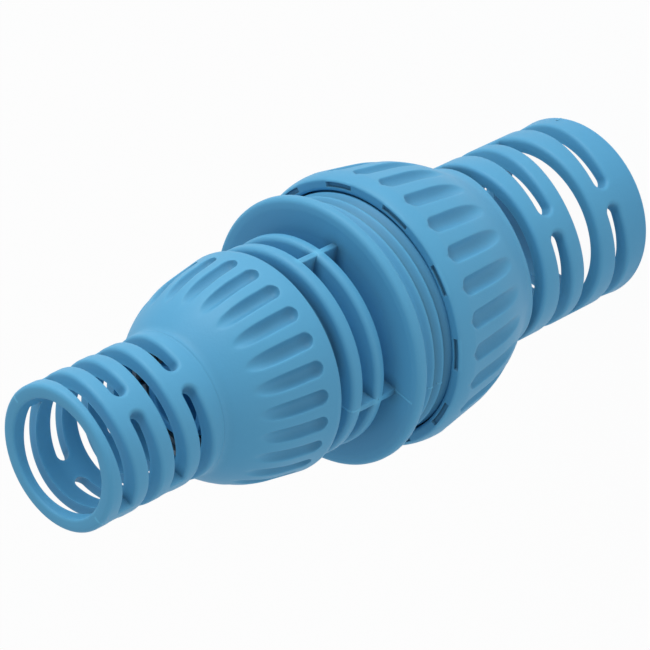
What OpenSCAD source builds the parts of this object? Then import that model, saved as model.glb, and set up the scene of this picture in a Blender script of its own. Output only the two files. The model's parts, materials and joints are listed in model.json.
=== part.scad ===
// Reducing hose coupling: a flanged centre body with two threaded necks and barbed hose
// tails, and on each side a domed nut with a slotted bend sleeve.
// Z runs along the coupling's axis, from the large sleeve's open end (z = 0) upward.
// The large nut hangs mouth up below the flange, the small nut sits mouth down above it.
// Lists of two hold the small side's value first and the large side's second.

/* [Hoses] */
// Outer diameter of the small hose
small_hose_d = 19.2; // [18:0.1:20]
// Outer diameter of the large hose
large_hose_d = 27.4; // [26:0.1:28]
// Bore of the small hose
small_hose_bore = 12.7; // [11:0.1:13.5]
// Bore of the large hose
large_hose_bore = 19; // [17:0.1:20]

/* [Centre body] */
// Radius of the flange
flange_r = 23.5; // [22.5:0.1:28]
// Thickness of the flange at its rim
flange_rim_t = 1.9; // [1.8:0.1:3]
// Radius that rounds the flange's rim
flange_round = 1.4; // [0.5:0.1:1.5]
// Thickness of the flange's dished web
flange_web_t = 1.5; // [1:0.1:2]
// Radius of the two grip discs
disc_r = 18.4; // [16:0.1:21]
// Thickness of the lower grip disc
low_disc_t = 1.9; // [1.2:0.1:3]
// Thickness of the upper grip disc
top_disc_t = 2.3; // [1.5:0.1:4]
// Radius that rounds the near edges of the grip discs
disc_round = 0.9; // [0.3:0.1:1]
// Gap between the flange's flat face and the lower grip disc
low_disc_gap = 4.7; // [4:0.1:8]
// Gap between the two grip discs
disc_gap = 3.1; // [2:0.1:6]
// Thickness of the ribs that join the discs and the flange
rib_t = 1.2; // [0.8:0.1:3]
// Radius of the solid waist inside the discs
waist_r = 11.6; // [11:0.1:13]
// Turn of the ribs about the axis
rib_turn = 39; // [0:1:90]

/* [Hose tails] */
// Wall of the hose tails
tail_wall = 1.6; // [1.2:0.1:2]
// Height of a barb
barb_h = 0.6; // [0.3:0.1:0.8]
// Length of a barb
barb_len = 4; // [3:0.5:6]
// Number of barbs on each tail
barbs = 3; // [1:1:3]
// Length of the small tail past its neck
small_tail_len = 11.5; // [9:0.5:12]
// Length of the large tail past its neck
large_tail_len = 15.5; // [12:0.5:16]

/* [Threads] */
// Pitch of both threads
pitch = 2.25; // [2:0.05:2.5]
// Depth of the neck threads
thread_depth = 1.1; // [0.8:0.05:1.2]
// Width of a thread ridge at its crest
crest_w = 0.7; // [0.5:0.05:0.8]
// Width of a thread ridge at its root
root_w = 1.3; // [1.1:0.05:1.4]
// Distance of the first ridge from the root of the small neck
small_first_ridge = 1.6; // [1:0.1:3]
// Distance of the first ridge from the root of the large neck
large_first_ridge = 3.7; // [1:0.1:4]

/* [Necks] */
// Room between the hose and the inside of a neck
neck_room = 3.3; // [3:0.1:4]
// Wall of the small neck below its thread
small_neck_wall = 2; // [1.6:0.1:2.4]
// Wall of the large neck below its thread
large_neck_wall = 3.2; // [2:0.1:3.6]
// Length of the small neck above the upper grip disc
small_neck_len = 10.4; // [9.5:0.1:12]
// Length of the large neck below the flange
large_neck_len = 14.8; // [13.5:0.1:18]
// Thickness of the floor inside each neck
neck_floor = 2; // [1.5:0.1:3]

/* [Nuts] */
// Gap between the upper grip disc and the small nut's mouth
small_mouth_gap = 3.3; // [2:0.1:4.5]
// Gap between the flange and the large nut's mouth
large_mouth_gap = 7.7; // [5:0.1:9]
// Wall of the small nut at its rim, outside the thread
small_rim_wall = 2.8; // [2.5:0.1:3.4]
// Wall of the large nut at its rim, outside the thread
large_rim_wall = 2.5; // [2.3:0.1:3.2]
// Height of the small nut's dome, from its mouth to the sleeve
small_dome_h = 19.1; // [18.5:0.1:22]
// Height of the large nut's dome, from its mouth to the sleeve
large_dome_h = 25; // [24:0.1:28]
// Radius that rounds the small dome
small_dome_round = 22; // [14:1:24]
// Radius that rounds the large dome
large_dome_round = 30; // [20:1:34]
// Turn of the small nut about the axis
small_turn = 13.8; // [0:0.1:15]
// Turn of the large nut about the axis
large_turn = -2.9; // [-10:0.1:10]

/* [Grip grooves] */
// Number of grooves on the small dome
small_grooves = 24; // [16:2:28]
// Number of grooves on the large dome
large_grooves = 26; // [16:2:32]
// Radius of the small dome's grooves
small_groove_r = 1.4; // [1:0.05:1.8]
// Radius of the large dome's grooves
large_groove_r = 1.65; // [1:0.05:2]
// Depth of the grooves
groove_depth = 1.2; // [0.6:0.05:1.3]
// Height of the small grooves' blunt end above the mouth
small_groove_start = 2.8; // [2:0.1:4]
// Height of the large grooves' blunt end from the mouth
large_groove_start = 3.1; // [2.5:0.1:5]
// Height at which the small grooves fade out
small_groove_end = 14.8; // [12:0.1:16]
// Height at which the large grooves fade out
large_groove_end = 18; // [15:0.1:20]

/* [Bend sleeves] */
// Clearance of the sleeves round their hoses
sleeve_gap = 0.4; // [0.2:0.05:0.8]
// Wall of the sleeves
sleeve_wall = 2.4; // [1.8:0.1:3]
// Length of the small sleeve past its dome
small_sleeve_len = 24.9; // [24:0.1:40]
// Length of the large sleeve past its dome
large_sleeve_len = 31.3; // [30:0.1:45]
// Width of the small sleeve's slots
small_slot_w = 2.5; // [1.5:0.1:2.8]
// Width of the large sleeve's slots
large_slot_w = 2.9; // [1.5:0.1:3.3]
// Width of the wide slot row in the large sleeve
wide_slot_w = 4.8; // [3:0.1:5]
// Width of the slot row next to the large dome
last_slot_w = 3.5; // [2:0.1:4]
// Rise of the small sleeve's slots from its sides to its front, toward the open end
small_bow = 1.6; // [0.5:0.1:2]
// Rise of the large sleeve's slots from its sides to its front, toward the dome
large_bow = 2.5; // [0.5:0.1:3]
// Width of the small sleeve's rings between slots
small_ring_w = 3.05; // [2:0.05:3.1]
// Width of the large sleeve's rings between slots
large_ring_w = 3.5; // [2:0.05:3.5]
// Width of the small sleeve's end ring
small_end_w = 1.7; // [1.5:0.1:3]
// Width of the large sleeve's end ring
large_end_w = 6; // [4:0.1:7]
// Width of the bridges between two slots of a row
bridge_w = 3.4; // [2.5:0.1:6]
// Radius of the small sleeve's rounded end edge
small_edge_r = 1.1; // [0.3:0.1:1.2]
// Radius of the large sleeve's rounded end edge
large_edge_r = 0.4; // [0.3:0.1:1.2]
// Length of the flared lead-in at the large sleeve's open end
large_lead_in = 3; // [2.6:0.1:3.4]
// How much the lead-in widens the large sleeve's bore
large_lead_rise = 0.4; // [0.2:0.05:0.6]

/* [Mouth pockets] */
// Number of shallow pockets in the large nut's mouth
pockets = 11; // [6:1:12]
// Length of a pocket round the mouth
pocket_angle = 13.8; // [8:0.1:20]
// Depth of a pocket
pocket_depth = 0.7; // [0.3:0.1:1]

/* [Grip and thrust rings] */
// Thickness of the thrust rings' flange
thrust_t = 1.7; // [1.3:0.1:2]
// Length of the thrust rings' skirt inside the neck
skirt_len = 2.6; // [2:0.1:3.5]
// Length of the small grip ring
small_grip_len = 8.6; // [7:0.1:9]
// Length of the large grip ring
large_grip_len = 11.5; // [9:0.1:12.5]
// Width of the grip rings' slit
slit_w = 2.4; // [1.5:0.1:3.5]
// Number of short slits that make the gripping fingers
finger_slits = 7; // [4:1:9]
// Height of a gripping tooth
tooth_h = 0.45; // [0.2:0.05:0.5]
// Thickness of the rubber seals
seal_t = 2; // [1:0.1:2.6]
// Clearance between pieces that slide or turn
run_gap = 0.3; // [0.2:0.05:0.4]

/* [Hidden] */
$fn = 96;

SMALL = 0;
LARGE = 1;
sides = [SMALL, LARGE];
body_color = [0.36, 0.64, 0.81];
ring_color = [0.90, 0.90, 0.86];
seal_color = [0.13, 0.13, 0.14];

// Overlap that makes a cut or a union run clear through a face
over = 0.5;
// How far a thread ridge is sunk into the wall that carries it
thread_sink = 0.3;
// Width of the small chamfers that break sharp edges
chamfer = 0.3;
// How far the ribs stay inside the rims of the discs
rib_inset = 0.1;

// How much wider the thrust rings' bores are than the sleeves'
thrust_room = 0.15;
// Clearance between the grip rings' teeth and the hoses
grip_room = 0.25;

// Radii from the hose outward
hose_r = [small_hose_d, large_hose_d] / 2;
tail_r = [small_hose_bore, large_hose_bore] / 2;
tail_bore_r = [for (k = sides) tail_r[k] - tail_wall];
sleeve_bore_r = [for (k = sides) hose_r[k] + sleeve_gap];
sleeve_r = [for (k = sides) sleeve_bore_r[k] + sleeve_wall];
neck_bore_r = [for (k = sides) hose_r[k] + neck_room];
neck_wall = [small_neck_wall, large_neck_wall];
neck_r = [for (k = sides) neck_bore_r[k] + neck_wall[k]];
crest_r = [for (k = sides) neck_r[k] + thread_depth];
thrust_bore_r = [for (k = sides) sleeve_bore_r[k] + thrust_room];
nut_bore_r = [for (k = sides) crest_r[k] + run_gap];
rim_r = [nut_bore_r[SMALL] + small_rim_wall, nut_bore_r[LARGE] + large_rim_wall];

// Lengths along each nut, measured from its mouth
edge_r = [small_edge_r, large_edge_r];
lead_in = [chamfer, large_lead_in];
lead_rise = [chamfer, large_lead_rise];
neck_len = [small_neck_len, large_neck_len];
mouth_gap = [small_mouth_gap, large_mouth_gap];
neck_end_t = [for (k = sides) neck_len[k] - mouth_gap[k]];
thrust_seat_t = [for (k = sides) neck_end_t[k] + run_gap];
thrust_lip = 0.15;
cone_t = [for (k = sides) thrust_seat_t[k] + thrust_t + thrust_lip];
dome_h = [small_dome_h, large_dome_h];
sleeve_len = [small_sleeve_len, large_sleeve_len];
nut_h = [for (k = sides) dome_h[k] + sleeve_len[k]];

// Heights of the centre body
flange_z = nut_h[LARGE] + large_mouth_gap;
low_disc_z = flange_z + low_disc_gap;
top_disc_z = low_disc_z + low_disc_t + disc_gap;
body_top_z = top_disc_z + top_disc_t;
mouth_z = [body_top_z + small_mouth_gap, nut_h[LARGE]];
neck_root_z = [body_top_z, flange_z];

// Shape of the domes
skirt_slope = tan(8.8);
cone_slope = [tan(38), tan(31.8)];
base_round = [1.4, 6];
rim_drop = [1, 3.2];
// Difference in radius between a nut's rim and its mouth face
lip_inset = [0.25, 0.85];
lip_r = [for (k = sides) rim_r[k] - lip_inset[k]];

// Section of the nut's inner cone that squeezes the grip ring
cone_inset = 0.8;
cone_past_dome = [0.6, -1];
cone_top_r = [for (k = sides) neck_r[k] - cone_inset];
cone_end_t = [for (k = sides) dome_h[k] + cone_past_dome[k]];

// Threads
first_ridge = [small_first_ridge, large_first_ridge];
ridges = [for (k = sides) 1 + floor((neck_len[k] - first_ridge[k] - root_w) / pitch)];

// Share of a barb's length taken by its steep step
barb_step = 0.15;

// Grip ring: plain foot, then teeth whose long side takes most of their pitch
grip_r = [for (k = sides) hose_r[k] + grip_room];
grip_len = [small_grip_len, large_grip_len];
grip_foot = 1;
teeth = 4;
tooth_slope = 0.8;
// Share of the grip ring's length below its gripping fingers
finger_root = 0.45;

// Grooves: depth left at the height where a groove is said to fade out
groove_fade = [0.25, 0.3];

// Mouth pockets: width, and distance of their outer side from their outer rim
pocket_w = 0.8;
pocket_rim = 0.15;

// Slot rows of each sleeve: [distance of the row's first edge from the open end, width]
slot_w = [
  [for (i = [0 : 3]) small_slot_w],
  [large_slot_w, wide_slot_w, large_slot_w, last_slot_w]
];
// Rows whose bridges lie on the parting plane, so that a blade cuts them across the front
function blade_row(k, i) = (i + k) % 2 == 0;
ring_w = [small_ring_w, large_ring_w];
// Share of the bow that a blade row keeps on its edge toward the open end
flat_share = [1, 0.2];
end_w = [small_end_w, large_end_w];
function total(list, n) = n == 0 ? 0 : list[n - 1] + total(list, n - 1);
function slot_start(k, i) = end_w[k] + total(slot_w[k], i) + i * ring_w[k];

// Where a line of the given slope through (r0, t0) has reached height t
function line_r(r0, t0, slope, t) = r0 - slope * (t - t0);

// Height at which a nut's skirt line meets its cone line
function corner_t(k) =
  (rim_r[k] + skirt_slope * rim_drop[k] - sleeve_r[k] - cone_slope[k] * dome_h[k])
  / (skirt_slope - cone_slope[k]);

// Outer radius of a nut's dome at height t, before its corners are rounded
function dome_r(k, t) = min(
  line_r(rim_r[k], rim_drop[k], skirt_slope, t),
  max(line_r(sleeve_r[k], dome_h[k], cone_slope[k], t), sleeve_r[k])
);

// Places a nut, given in its own frame with its mouth at the origin, on its neck
module place(k) {
  translate([0, 0, mouth_z[k]])
    rotate([0, 0, k == SMALL ? small_turn : large_turn])
      rotate([k == SMALL ? 0 : 180, 0, 0])
        children();
}

// Outline of a nut from the axis to its outer skin, drawn as radius against height
module nut_outline(k) {
  ct = corner_t(k);
  cr = dome_r(k, ct);
  bend = atan(cone_slope[k]) - atan(skirt_slope);
  round_r = k == SMALL ? small_dome_round : large_dome_round;
  reach = round_r * tan(bend / 2);
  a0 = atan(skirt_slope);
  a1 = atan(cone_slope[k]);
  arc_start = ct - reach * cos(a0);
  arc_end = ct + reach * cos(a1);
  arc_r = dome_r(k, arc_start) - round_r * cos(a0);
  arc_t = arc_start - round_r * sin(a0);
  base_reach = base_round[k] * tan(a1 / 2);
  base_start = dome_h[k] - base_reach * cos(a1);
  base_end = dome_h[k] + base_reach;
  // Core that ties the stretches below into one outline
  square([sleeve_bore_r[k] + sleeve_wall / 2, nut_h[k] - edge_r[k]]);
  polygon([
    [0, 0], [lip_r[k], 0], each mouth_edge(k), [dome_r(k, arc_start), arc_start], [0, arc_start]
  ]);
  intersection() {
    translate([arc_r, arc_t]) circle(round_r, $fn = 180);
    translate([0, arc_start]) square([rim_r[k], arc_end - arc_start]);
  }
  polygon([
    [0, arc_end], [dome_r(k, arc_end), arc_end], [dome_r(k, base_start), base_start], [0, base_start]
  ]);
  difference() {
    translate([0, base_start]) square([dome_r(k, base_start), base_end - base_start]);
    translate([sleeve_r[k] + base_round[k], base_end]) circle(base_round[k], $fn = 96);
  }
  polygon([
    [0, base_end], [sleeve_r[k], base_end], [sleeve_r[k], nut_h[k] - edge_r[k]],
    for (a = [10 : 10 : 90]) [
      sleeve_r[k] - edge_r[k] * (1 - cos(a)), nut_h[k] - edge_r[k] * (1 - sin(a))
    ],
    [0, nut_h[k]]
  ]);
}

// Points that lead from a nut's mouth to the widest part of its rim
function mouth_edge(k) = [
  for (a = [15 : 15 : 90])
    [lip_r[k] + (rim_r[k] - lip_r[k]) * sin(a), rim_drop[k] * (1 - cos(a))]
];

// Hollow of a nut: thread bore, seat of the thrust ring, squeezing cone, sleeve bore and lead-in
module nut_hollow(k) {
  bore = sleeve_bore_r[k];
  polygon([
    [0, -over], [nut_bore_r[k], -over], [nut_bore_r[k], neck_end_t[k]],
    [neck_r[k], neck_end_t[k] + run_gap / 2], [neck_r[k], cone_t[k]],
    [cone_top_r[k], cone_t[k]], [bore, cone_end_t[k]],
    [bore, nut_h[k] - lead_in[k]], [bore + lead_rise[k], nut_h[k]],
    [bore + lead_rise[k], nut_h[k] + over], [0, nut_h[k] + over]
  ]);
}

// Rods that cut the grip grooves: blunt at the rim, leaving the dome toward the sleeve
module groove_rods(k) {
  count = k == SMALL ? small_grooves : large_grooves;
  rod_r = k == SMALL ? small_groove_r : large_groove_r;
  start = (k == SMALL ? small_groove_start : large_groove_start) + rod_r;
  end = k == SMALL ? small_groove_end : large_groove_end;
  start_r = dome_r(k, start) - groove_depth + rod_r;
  end_r = dome_r(k, end) + rod_r - groove_fade[k];
  lean = atan((start_r - end_r) / (end - start));
  length = (end - start) / cos(lean) + 2 * rod_r;
  for (i = [0 : count - 1])
    rotate([0, 0, (i + (k == SMALL ? 0 : 0.5)) * 360 / count])
      translate([start_r, 0, start])
        rotate([0, -lean, 0])
          rotate_extrude($fn = 48) {
            square([rod_r, length]);
            intersection() {
              circle(rod_r, $fn = 48);
              translate([0, -rod_r]) square([rod_r, rod_r + over]);
            }
          }
}

// Side view of a slot's edge: all that lies on the arc's inner side. The arc passes height t on
// the axis and has moved by the given bow where it leaves the sleeve's side.
module arc_side(k, t, bow) {
  arc_r = (sleeve_r[k] * sleeve_r[k] + bow * bow) / (2 * bow);
  translate([0, k == SMALL ? t - arc_r : t + arc_r]) circle(arc_r, $fn = 180);
}

// One row of bowed slots, cut along X: its bridges face X, or Y in a blade row
module slot_row(k, i) {
  top = nut_h[k] - slot_start(k, i);
  low = top - slot_w[k][i];
  bow = k == SMALL ? small_bow : large_bow;
  flat_bow = bow * flat_share[k];
  reach = sleeve_r[k] + over;
  end_r = slot_w[k][i] / 2;
  for (side = [0, 180])
    rotate([0, 0, side])
      if (blade_row(k, i))
        translate([bridge_w / 2, 0, 0])
          rotate([90, 0, 90])
            linear_extrude(reach)
              slot_view(k, low, top, bow, flat_bow, -reach, reach);
      else
        translate([-reach, 0, 0])
          rotate([90, 0, 90])
            linear_extrude(2 * reach) {
              slot_view(k, low, top, bow, bow, bridge_w / 2 + end_r, reach);
              translate([bridge_w / 2 + end_r, (low + top) / 2]) circle(end_r, $fn = 48);
            }
}

// Side view of a slot between its two bowed edges, from y0 to y1
module slot_view(k, low, top, bow, flat_bow, y0, y1) {
  intersection() {
    difference() {
      arc_side(k, k == SMALL ? top : low, bow);
      arc_side(k, k == SMALL ? low : top, flat_bow);
    }
    translate([y0, low - 2 * bow]) square([y1 - y0, top - low + 4 * bow]);
  }
}

// Shallow arc pockets in the large nut's mouth
module mouth_pockets() {
  for (i = [0 : pockets - 1])
    rotate([0, 0, (i - 0.5 * pocket_angle * pockets / 360) * 360 / pockets])
      rotate_extrude(angle = pocket_angle)
        translate([lip_r[LARGE] - pocket_rim - pocket_w, -over])
          square([pocket_w, pocket_depth + over]);
}

module nut(k) {
  difference() {
    rotate_extrude() nut_outline(k);
    rotate_extrude() nut_hollow(k);
    groove_rods(k);
    for (i = [0 : 3]) slot_row(k, i);
    if (k == LARGE) mouth_pockets();
  }
}

// Thread ridges of a neck that stands on the plane z = 0
module neck_thread(k) {
  for (i = [0 : ridges[k] - 1])
    translate([0, 0, first_ridge[k] + i * pitch])
      rotate_extrude()
        polygon([
          [neck_r[k] - thread_sink, -root_w / 2], [neck_r[k], -root_w / 2], [crest_r[k], -crest_w / 2],
          [crest_r[k], crest_w / 2], [neck_r[k], root_w / 2], [neck_r[k] - thread_sink, root_w / 2]
        ]);
}

// Outline of one barbed hose tail, drawn as radius against the distance from its root
module tail_outline(k, length) {
  r = tail_r[k];
  first = length - barbs * barb_len;
  polygon([
    [tail_bore_r[k], -over], [r, -over],
    for (i = [0 : barbs - 1]) each [
      [r, first + i * barb_len], [r + barb_h, first + (i + barb_step) * barb_len]
    ],
    [r - barb_h / 2, length], [tail_bore_r[k], length]
  ]);
}

// Tail, neck and neck floor on one side, standing on the plane z = 0
module neck(k) {
  tail_len = neck_len[k] + (k == SMALL ? small_tail_len : large_tail_len);
  rotate_extrude() {
    tail_outline(k, tail_len);
    polygon([
      [tail_bore_r[k], -over], [neck_r[k], -over], [neck_r[k], neck_len[k] - 2 * chamfer],
      [neck_r[k] - 2 * chamfer, neck_len[k]], [neck_bore_r[k], neck_len[k]],
      [neck_bore_r[k], neck_floor], [tail_bore_r[k], neck_floor]
    ]);
  }
  neck_thread(k);
}

// Points of an edge rounded with radius r, from the widest point to the top face
function round_edge(edge, face, r) = [
  for (a = [0 : 15 : 90]) [edge - r * (1 - cos(a)), face - r * (1 - sin(a))]
];

// Section of the flange, the discs and the waist
module body_outline() {
  polygon([
    [tail_bore_r[LARGE], flange_z], [flange_r - chamfer, flange_z], [flange_r, flange_z + chamfer],
    each round_edge(flange_r, flange_z + flange_rim_t, flange_round),
    [disc_r, flange_z + flange_web_t], [waist_r, flange_z + flange_web_t],
    [waist_r, body_top_z - top_disc_t], [tail_bore_r[LARGE], body_top_z - top_disc_t]
  ]);
  for (disc = [[low_disc_z, low_disc_t], [top_disc_z, top_disc_t]])
    polygon([
      [tail_bore_r[LARGE], disc[0]], [disc_r - chamfer, disc[0]], [disc_r, disc[0] + chamfer],
      each round_edge(disc_r, disc[0] + disc[1], disc_round), [tail_bore_r[LARGE], disc[0] + disc[1]]
    ]);
}

module centre_body() {
  color(body_color) {
    difference() {
      union() {
        rotate_extrude() body_outline();
        for (i = [0 : 3])
          rotate([0, 0, rib_turn + 90 * i])
            translate([waist_r - over, -rib_t / 2, flange_z + flange_web_t / 2])
              cube([disc_r - rib_inset - waist_r + over, rib_t, top_disc_z - flange_z]);
        translate([0, 0, body_top_z]) neck(SMALL);
        translate([0, 0, flange_z]) mirror([0, 0, 1]) neck(LARGE);
        // Plug that narrows the large bore to the small one
        translate([0, 0, flange_z + flange_web_t])
          cylinder(body_top_z - flange_z - flange_web_t, r = tail_bore_r[LARGE] + over);
      }
      translate([0, 0, flange_z])
        cylinder(
          top_disc_z - flange_z, r1 = tail_bore_r[LARGE], r2 = tail_bore_r[SMALL]
        );
      translate([0, 0, top_disc_z - over])
        cylinder(2 * top_disc_t, r = tail_bore_r[SMALL]);
      translate([0, 0, flange_z - over])
        cylinder(2 * over, r = tail_bore_r[LARGE]);
    }
  }
}

// Grip ring: a slit cone with teeth inside that the nut's cone squeezes onto the hose
module grip_ring(k) {
  base = cone_t[k] + run_gap;
  tip = base + grip_len[k];
  slope = (cone_top_r[k] - sleeve_bore_r[k]) / (cone_end_t[k] - cone_t[k]);
  side_gap = run_gap * 0.9;
  outer = function(t) cone_top_r[k] - slope * (t - cone_t[k]) - side_gap;
  step = (grip_len[k] - grip_foot) / teeth;
  difference() {
    rotate_extrude()
      polygon([
        [grip_r[k] + tooth_h, base], [outer(base), base], [outer(tip), tip],
        for (i = [teeth - 1 : -1 : 0]) each [
          [grip_r[k], base + grip_foot + (i + tooth_slope) * step],
          [grip_r[k] + tooth_h, base + grip_foot + i * step]
        ]
      ]);
    translate([0, -slit_w / 2, base - over])
      cube([cone_top_r[k] + over, slit_w, grip_len[k] + 2 * over]);
    for (i = [1 : finger_slits])
      rotate([0, 0, i * 360 / (finger_slits + 1)])
        translate([0, -slit_w / 4, base + grip_len[k] * finger_root])
          cube([cone_top_r[k] + over, slit_w / 2, grip_len[k]]);
  }
}

// Thrust ring: a flange between the neck's end and the grip ring, with a skirt in the neck
module thrust_ring(k) {
  seat = thrust_seat_t[k];
  skirt_r = neck_bore_r[k] - run_gap;
  rotate_extrude()
    polygon([
      [thrust_bore_r[k], seat - skirt_len], [skirt_r - chamfer, seat - skirt_len],
      [skirt_r, seat - skirt_len + chamfer], [skirt_r, seat], [neck_r[k] - run_gap, seat],
      [neck_r[k] - run_gap, seat + thrust_t], [thrust_bore_r[k], seat + thrust_t]
    ]);
}

// Seal: a rubber ring on the floor inside a neck
module seal(k) {
  root = neck_root_z[k];
  up = k == SMALL ? 1 : -1;
  bevel = 0.3;
  bore_gap = 0.1;
  rim_gap = 0.2;
  inner = tail_r[k] + bore_gap;
  outer = neck_bore_r[k] - rim_gap;
  translate([0, 0, root])
    rotate([k == SMALL ? 0 : 180, 0, 0])
      rotate_extrude()
        polygon([
          [inner, neck_floor], [outer, neck_floor], [outer, neck_floor + seal_t - bevel],
          [outer - bevel, neck_floor + seal_t], [inner + bevel, neck_floor + seal_t],
          [inner, neck_floor + seal_t - bevel]
        ]);
}

module small_nut() {
  color(body_color) place(SMALL) nut(SMALL);
}

module large_nut() {
  color(body_color) place(LARGE) nut(LARGE);
}

module small_grip_ring() {
  color(ring_color) place(SMALL) grip_ring(SMALL);
}

module large_grip_ring() {
  color(ring_color) place(LARGE) grip_ring(LARGE);
}

module small_thrust_ring() {
  color(ring_color) place(SMALL) thrust_ring(SMALL);
}

module large_thrust_ring() {
  color(ring_color) place(LARGE) thrust_ring(LARGE);
}

module small_seal() {
  color(seal_color) seal(SMALL);
}

module large_seal() {
  color(seal_color) seal(LARGE);
}

centre_body();
small_nut();
large_nut();
small_grip_ring();
large_grip_ring();
small_thrust_ring();
large_thrust_ring();
small_seal();
large_seal();
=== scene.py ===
"""Models and dresses the reducing hose coupling, and sets its studio.

Lengths are in millimetres along the coupling's axis and out from it, until a mesh is placed.
"""

import json
import logging
from dataclasses import dataclass, field
from enum import Enum
from math import asin, atan, atan2, copysign, cos, hypot, inf, pi, radians, sin, sqrt, tan

import bmesh
import bpy
from bmesh.types import BMEdge, BMesh, BMVert
from bpy.types import ID, Material, Node, NodeTree, Object
from mathutils import Matrix, Vector


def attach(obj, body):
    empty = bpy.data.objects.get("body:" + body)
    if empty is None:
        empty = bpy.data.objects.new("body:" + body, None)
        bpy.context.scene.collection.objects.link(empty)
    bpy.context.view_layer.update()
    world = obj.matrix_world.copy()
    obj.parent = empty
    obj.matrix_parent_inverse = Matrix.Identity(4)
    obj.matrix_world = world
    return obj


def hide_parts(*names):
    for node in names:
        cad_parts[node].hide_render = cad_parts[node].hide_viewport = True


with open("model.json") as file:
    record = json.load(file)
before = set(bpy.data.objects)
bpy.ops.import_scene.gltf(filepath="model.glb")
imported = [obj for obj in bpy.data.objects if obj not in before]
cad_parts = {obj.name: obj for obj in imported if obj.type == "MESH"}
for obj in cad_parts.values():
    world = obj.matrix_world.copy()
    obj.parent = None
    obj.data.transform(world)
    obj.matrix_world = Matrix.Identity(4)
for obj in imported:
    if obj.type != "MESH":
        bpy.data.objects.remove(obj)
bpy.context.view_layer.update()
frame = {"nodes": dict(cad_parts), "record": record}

LOG = logging.getLogger("hose_coupling")
MM = 0.001
TAU = 2.0 * pi
WHITE = (1.0, 1.0, 1.0, 1.0)
COLOR_A, COLOR_B, COLOR_OUT = 6, 7, 2


class Finish(Enum):
    """The coupling's finishes, by the material slot that each stands for."""

    BLUE = "blue_plastic"
    WHITE = "white_plastic"
    RUBBER = "seal_rubber"


def place(name: str, data: ID) -> Object:
    """Puts a new object with the given data in the scene and returns it."""
    thing = bpy.data.objects.new(name, data)
    bpy.context.scene.collection.objects.link(thing)
    return thing


class Shape:
    """Steps that every moulding shares, from a spun drum to the finished object.

    Attributes:
        CREASE: Angle from which an edge stays sharp.
        DRUM_R, TUBE_R: Radii of the plain drum that every moulding starts from.
        HAIR_H, HAIR_W, HAIR_LAP: Height of a hair of flash, half its width, and its overlap.
    """

    CREASE = radians(48.0)
    DRUM_R = 10.0
    TUBE_R = 4.0
    HAIR_H = 0.08
    HAIR_W = 0.20
    HAIR_LAP = 0.04

    @staticmethod
    def drum(rings: int, steps: int) -> BMesh:
        """Bends a flat grid both ways into a hollow ring, closed at its two seams.

        Args:
            rings: Number of points round its section.
            steps: Number of points round its axis.

        Returns:
            The hollow ring, whose points label() can tell apart.
        """
        shape = bmesh.new()
        bmesh.ops.create_grid(shape, x_segments=steps, y_segments=rings, size=1.0)
        for point in shape.verts:
            round_axis, round_tube = pi * (point.co.x + 1.0), pi * (point.co.y + 1.0)
            out = Shape.DRUM_R + Shape.TUBE_R * cos(round_tube)
            point.co = Vector((
                out * cos(round_axis), out * sin(round_axis),
                Shape.TUBE_R * sin(round_tube),
            ))
        bmesh.ops.remove_doubles(shape, verts=shape.verts, dist=0.0005)
        return shape

    @staticmethod
    def label(point: BMVert, rings: int, steps: int) -> tuple[int, int]:
        """Reads a drum point's place from where drum() put it.

        Args:
            point: The point.
            rings: Number of points round the drum's section.
            steps: Number of points round its axis.

        Returns:
            Its number round the section, and round the axis.
        """
        x, y, z = point.co
        tube = atan2(z, hypot(x, y) - Shape.DRUM_R) / TAU * rings
        return round(tube) % rings, round(atan2(y, x) / TAU * steps) % steps

    @staticmethod
    def seam(shape: BMesh, path: list[tuple[float, float]], angle: float) -> None:
        """Lays a hair of flash along a path, where two halves of the mould met.

        Args:
            shape: The mesh that gets it, in millimetres.
            path: Radius and height of each point of the path.
            angle: The path's angle round the axis.
        """
        turn = Matrix.Rotation(angle, 4, "Z")
        for (r0, z0), (r1, z1) in zip(path, path[1:]):
            length = hypot(r1 - r0, z1 - z0)
            lean = Matrix.Rotation(atan2(r1 - r0, z1 - z0), 4, "Y")
            middle = Matrix.Translation(((r0 + r1) / 2.0, 0.0, (z0 + z1) / 2.0))
            slim = Matrix.Diagonal((Shape.HAIR_H, Shape.HAIR_W, 1.0, 1.0))
            bmesh.ops.create_cone(
                shape, cap_ends=True, segments=4, radius1=1.0, radius2=1.0,
                depth=length + Shape.HAIR_LAP, matrix=turn @ middle @ lean @ slim,
            )

    @staticmethod
    def finish(shape: BMesh, node: str, body: str, kind: Finish, shop: "Workshop") -> None:
        """Turns a mesh in millimetres into a dressed piece that stands for a CAD node.

        Args:
            shape: The mesh, which is freed.
            node: The CAD node that it stands for, which names it.
            body: The body that it rides on.
            kind: Its finish.
            shop: The workshop that dresses it.
        """
        bmesh.ops.scale(shape, vec=(MM, MM, MM), verts=shape.verts)
        bmesh.ops.recalc_face_normals(shape, faces=shape.faces)
        for face in shape.faces:
            face.smooth = True
        for edge in shape.edges:
            if len(edge.link_faces) == 2 and edge.calc_face_angle(0.0) > Shape.CREASE:
                edge.smooth = False
        name = f"{node}_moulding"
        mesh = bpy.data.meshes.new(name)
        shape.to_mesh(mesh)
        shape.free()
        piece = place(name, mesh)
        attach(piece, body)
        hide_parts(node)
        shop.dress(piece, kind)
        faces = sum(len(polygon.vertices) - 2 for polygon in mesh.polygons)
        LOG.info("%s: %d triangles, in place of %s", name, faces, node)


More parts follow.
